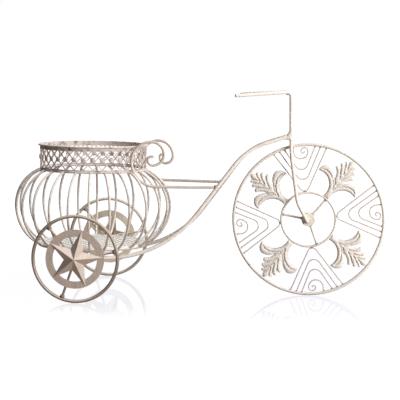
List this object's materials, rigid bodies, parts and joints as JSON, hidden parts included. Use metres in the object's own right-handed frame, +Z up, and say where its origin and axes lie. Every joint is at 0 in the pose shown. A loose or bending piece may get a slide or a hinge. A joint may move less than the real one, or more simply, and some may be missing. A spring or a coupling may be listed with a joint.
{
  "type": "tricycle planter",
  "caption": "Wire garden planter shaped as a tricycle: ribbed pot basket with a pierced collar, scrolling rails and fork, an ornamental front wheel and star-faced rear wheels that turn.",
  "frame": {"origin": "on the floor under the middle of the bounding box", "axes": "+X forward, towards the front wheel; +Y to the left; +Z up"},
  "size_m": [0.7866, 0.4208, 0.4309],
  "materials": {
    "frame_paint": "antique cream, rubbed",
    "collar_paint": "antique cream, rubbed",
    "basket_paint": "antique cream, rubbed",
    "front_wheel_paint": "antique cream, rubbed",
    "leaf_paint": "antique cream over brown, rubbed",
    "rear_wheel_paint": "taupe, brushed",
    "star_paint": "taupe and pinkish cream, brushed",
    "axle_steel": "painted steel, worn"
  },
  "bodies": {
    "frame": {"side_rail_right": "frame_paint", "side_rail_left": "frame_paint", "fork_rod_right": "frame_paint", "fork_rod_left": "frame_paint", "fork_eye_right": "frame_paint", "fork_eye_left": "frame_paint", "scroll_arm_right": "frame_paint", "scroll_arm_left": "frame_paint", "rear_axle": "axle_steel", "axle_stops": "axle_steel", "axle_push_nuts": "axle_steel", "front_axle": "axle_steel", "basket_rim": "collar_paint", "collar_band": "collar_paint", "collar_hoop": "collar_paint", "basket_ribs": "basket_paint", "floor_ring": "basket_paint", "floor_mesh": "basket_paint"},
    "front_wheel": {"front_rim": "front_wheel_paint", "front_inner_ring": "front_wheel_paint", "front_hub": "front_wheel_paint", "front_spokes": "front_wheel_paint", "acanthus_leaf_1": "leaf_paint", "nested_arches_1": "front_wheel_paint", "rim_curl_1": "front_wheel_paint", "acanthus_leaf_2": "leaf_paint", "nested_arches_2": "front_wheel_paint", "rim_curl_2": "front_wheel_paint", "acanthus_leaf_3": "leaf_paint", "nested_arches_3": "front_wheel_paint", "rim_curl_3": "front_wheel_paint", "acanthus_leaf_4": "leaf_paint", "nested_arches_4": "front_wheel_paint", "rim_curl_4": "front_wheel_paint"},
    "rear_wheel_right": {"right_rim": "rear_wheel_paint", "right_hub": "rear_wheel_paint", "right_spokes": "rear_wheel_paint", "right_star_ring": "star_paint", "right_star": "star_paint"},
    "rear_wheel_left": {"left_rim": "rear_wheel_paint", "left_hub": "rear_wheel_paint", "left_spokes": "rear_wheel_paint", "left_star_ring": "star_paint", "left_star": "star_paint"}
  },
  "joints": [
    {"name": "front_wheel_spin", "type": "hinge", "parent": "frame", "child": "front_wheel", "pos_m": [0.2323, 0, 0.161], "axis": [0, 1, 0], "continuous": true},
    {"name": "rear_right_spin", "type": "hinge", "parent": "frame", "child": "rear_wheel_right", "pos_m": [-0.2277, -0.193, 0.09], "axis": [0, 1, 0], "continuous": true},
    {"name": "rear_left_spin", "type": "hinge", "parent": "frame", "child": "rear_wheel_left", "pos_m": [-0.2277, 0.193, 0.09], "axis": [0, 1, 0], "continuous": true}
  ]
}
